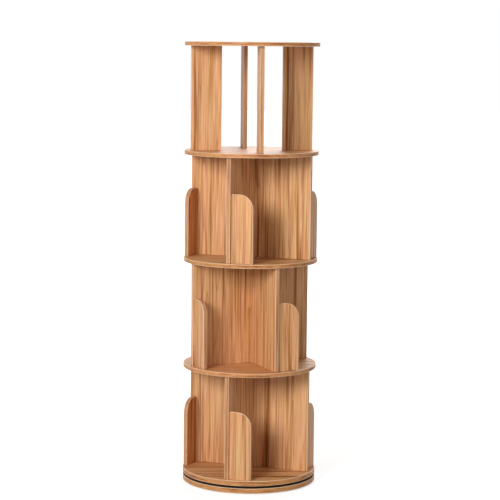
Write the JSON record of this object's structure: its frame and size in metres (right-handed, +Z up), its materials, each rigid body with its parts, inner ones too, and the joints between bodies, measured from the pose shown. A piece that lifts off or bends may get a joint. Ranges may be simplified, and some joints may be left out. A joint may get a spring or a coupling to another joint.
{
  "type": "revolving bookcase",
  "caption": "Tall round bookcase with open tiers of pinwheel dividers and low stops, which turns as one piece on a ball turntable above a round base.",
  "frame": {"origin": "on the floor, under the centre of the base disc, on the axis of rotation", "axes": "+Z up along the axis of rotation; -Y towards the viewer who sees the carousel at rest from its front"},
  "size_m": [0.4, 0.4, 1.32],
  "materials": {
    "board": "satin wood-effect board",
    "ring": "extruded, clear anodised",
    "screw": "zinc plated",
    "ball": "ground bearing steel",
    "cage": "moulded nylon",
    "pad": "black rubber"
  },
  "bodies": {
    "base": {"base_disc": "board", "floor_pad_1": "pad", "floor_pad_2": "pad", "floor_pad_3": "pad", "floor_pad_4": "pad", "floor_pad_5": "pad", "turntable_outer_ring": "ring", "outer_ring_screw_1": "screw", "outer_ring_screw_2": "screw", "outer_ring_screw_3": "screw"},
    "ball_row": {"ball_cage": "cage", "turntable_ball_1": "ball", "turntable_ball_2": "ball", "turntable_ball_3": "ball", "turntable_ball_4": "ball", "turntable_ball_5": "ball", "turntable_ball_6": "ball", "turntable_ball_7": "ball", "turntable_ball_8": "ball", "turntable_ball_9": "ball", "turntable_ball_10": "ball", "turntable_ball_11": "ball", "turntable_ball_12": "ball"},
    "carousel": {"turntable_inner_ring": "ring", "inner_ring_screw_1": "screw", "inner_ring_screw_2": "screw", "inner_ring_screw_3": "screw", "bottom_shelf": "board", "shelf_2": "board", "shelf_3": "board", "shelf_4": "board", "top_board": "board", "divider_1_1": "board", "divider_1_2": "board", "divider_1_3": "board", "divider_1_4": "board", "divider_2_1": "board", "divider_2_2": "board", "divider_2_3": "board", "divider_2_4": "board", "divider_3_1": "board", "divider_3_2": "board", "divider_3_3": "board", "divider_3_4": "board", "book_stop_1_1": "board", "book_stop_1_2": "board", "book_stop_1_3": "board", "book_stop_1_4": "board", "book_stop_2_1": "board", "book_stop_2_2": "board", "book_stop_2_3": "board", "book_stop_2_4": "board", "book_stop_3_1": "board", "book_stop_3_2": "board", "book_stop_3_3": "board", "book_stop_3_4": "board", "short_divider_1": "board", "short_divider_2": "board", "short_divider_3": "board", "short_divider_4": "board"}
  },
  "joints": [
    {"name": "carousel_spin", "type": "hinge", "parent": "base", "child": "carousel", "pos_m": [0, 0, 0.0215], "axis": [0, 0, 1], "continuous": true},
    {"name": "ball_row_spin", "type": "hinge", "parent": "base", "child": "ball_row", "pos_m": [0, 0, 0.0215], "axis": [0, 0, 1], "continuous": true}
  ],
  "couplings": [
    {"joint": "ball_row_spin", "follows": "carousel_spin", "ratio": 0.5}
  ]
}
